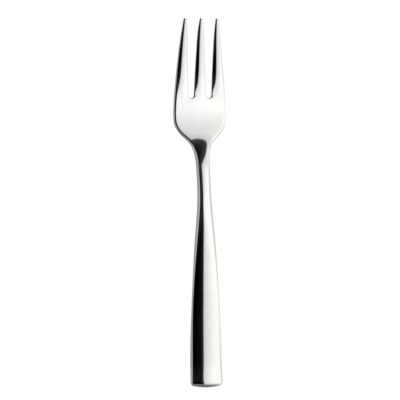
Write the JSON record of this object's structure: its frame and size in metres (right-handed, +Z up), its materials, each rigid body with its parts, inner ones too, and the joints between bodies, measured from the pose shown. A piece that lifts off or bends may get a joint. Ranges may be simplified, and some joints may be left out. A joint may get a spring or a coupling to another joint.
{
  "type": "cocktail fork",
  "caption": "Polished steel cocktail fork: slender tapered tines on a flat curved bowl, a narrow arched neck and a crowned handle that widens to a softly bowed end.",
  "frame": {"origin": "on the table, midway along and across the fork", "axes": "+X across the fork, +Y along it towards the tine tips, +Z up from the table it rests on"},
  "size_m": [0.0218, 0.15, 0.0122],
  "materials": {
    "polished_steel": "polished"
  },
  "bodies": {
    "root": {"fork": "polished_steel"}
  },
  "joints": []
}
